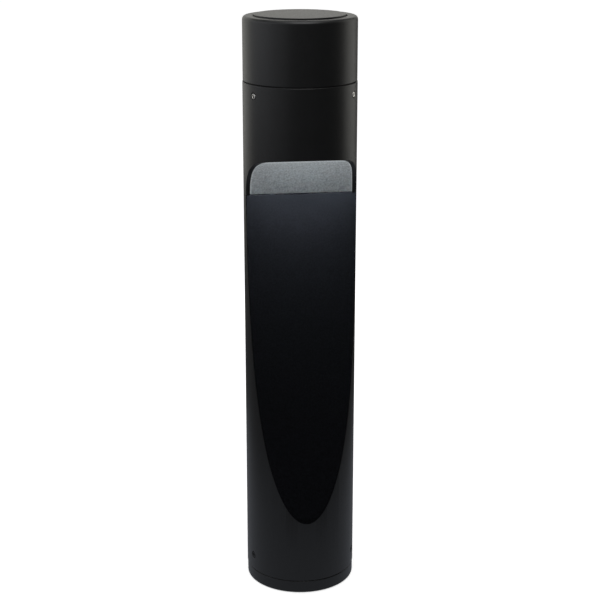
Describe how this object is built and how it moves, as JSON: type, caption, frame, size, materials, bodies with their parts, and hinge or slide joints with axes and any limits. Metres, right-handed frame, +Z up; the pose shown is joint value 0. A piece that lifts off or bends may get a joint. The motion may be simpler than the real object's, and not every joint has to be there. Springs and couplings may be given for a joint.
{
  "type": "bollard light",
  "caption": "Free-standing black tubular bollard light: a deep front scoop with a concave dark reflector, a frosted lens under a hood, and a flat stepped cap.",
  "frame": {"origin": "centre of the foot's underside, on the ground", "axes": "+Z up the post, -Y out of the scoop towards the viewer, +X to the viewer's right"},
  "size_m": [0.2032, 0.2032, 1.0668],
  "materials": {
    "black_coat": "fine-textured satin black powder coat",
    "panel_black": "smooth satin black coat",
    "frosted_lens": "frosted diffuser, satin",
    "stainless": "machined",
    "black_steel": "black oxide",
    "zinc": "zinc plated",
    "aluminium": "mill finish",
    "rubber": "matt black",
    "silicone": "matt grey",
    "board": "white solder mask",
    "emitter": "clear dome over yellow phosphor",
    "grey_plastic": "moulded",
    "white_plastic": "moulded",
    "copper": "tinned"
  },
  "bodies": {
    "root": {"anchor_base": "black_coat", "base_gasket": "rubber", "base_screw_left": "black_steel", "base_screw_rear": "black_steel", "base_screw_right": "black_steel", "body_tube": "black_coat", "cable_clip": "grey_plastic", "cap_disc": "black_coat", "cap_disc_seal": "rubber", "cap_gasket": "rubber", "cap_screw_left": "stainless", "cap_screw_rear": "stainless", "cap_screw_right": "stainless", "disc_screw_1": "zinc", "disc_screw_2": "zinc", "disc_screw_3": "zinc", "driver_screw_left": "zinc", "driver_screw_right": "zinc", "entry_grommet": "rubber", "gear_plate": "zinc", "gear_plate_screw_left": "zinc", "gear_plate_screw_right": "zinc", "ground_lug": "copper", "ground_screw": "zinc", "hanger_left": "zinc", "hanger_right": "zinc", "hanger_screw_1": "zinc", "hanger_screw_2": "zinc", "hanger_screw_3": "zinc", "hanger_screw_4": "zinc", "head_cap": "black_coat", "heat_sink": "aluminium", "heat_sink_screw_left": "zinc", "heat_sink_screw_right": "zinc", "led_board": "board", "led_driver": "white_plastic", "led_emitter_1": "emitter", "led_emitter_2": "emitter", "led_emitter_3": "emitter", "led_emitter_4": "emitter", "led_lead": "rubber", "lens": "frosted_lens", "lens_frame": "aluminium", "lens_gasket": "silicone", "panel_nut_1": "zinc", "panel_nut_2": "zinc", "panel_nut_3": "zinc", "panel_nut_4": "zinc", "panel_rail_lower": "aluminium", "panel_rail_upper": "aluminium", "panel_stud_1": "zinc", "panel_stud_2": "zinc", "panel_stud_3": "zinc", "panel_stud_4": "zinc", "reflector_panel": "panel_black", "supply_lead": "rubber", "surge_protector": "grey_plastic", "terminal_block": "grey_plastic", "thermal_pad": "silicone"}
  },
  "joints": []
}
